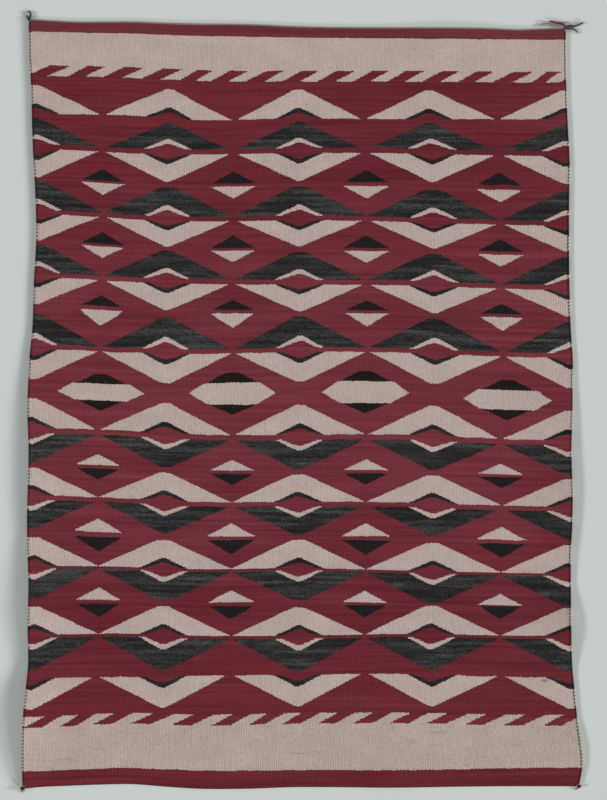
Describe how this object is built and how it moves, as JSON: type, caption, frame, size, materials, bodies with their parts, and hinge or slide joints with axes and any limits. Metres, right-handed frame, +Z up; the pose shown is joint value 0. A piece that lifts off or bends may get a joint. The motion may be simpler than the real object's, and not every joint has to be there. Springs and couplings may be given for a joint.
{
  "type": "woven rug",
  "caption": "Flat hand-woven wool rug with stepped diamond bands, stepped-tooth end borders, twisted edge cords and knotted corners, for laying on a floor.",
  "frame": {"origin": "centre of the underside, on the surface the rug lies on", "axes": "+Z up through the cloth, +Y along the rug's length towards its top end, +X across it to the right as seen from above"},
  "size_m": [1.352, 1.8772, 0.0163],
  "materials": {
    "field_wool": "weft-faced tapestry weave in deep red, charcoal and grey-white wool, matt",
    "side_cord_wool": "two-ply twisted cord of dark and pale wool",
    "end_cord_wool": "twined cord of deep red wool with pale flecks",
    "dark_yarn": "loose dark spun yarn",
    "red_yarn": "loose red spun yarn"
  },
  "bodies": {
    "root": {"woven_field": "field_wool", "side_cord_left": "side_cord_wool", "side_cord_right": "side_cord_wool", "end_cord_top": "end_cord_wool", "end_cord_bottom": "end_cord_wool", "corner_tuft_top_left": "dark_yarn", "corner_tassel_top_right": "red_yarn", "corner_knot_bottom_left": "dark_yarn", "corner_knot_bottom_right": "red_yarn"}
  },
  "joints": []
}
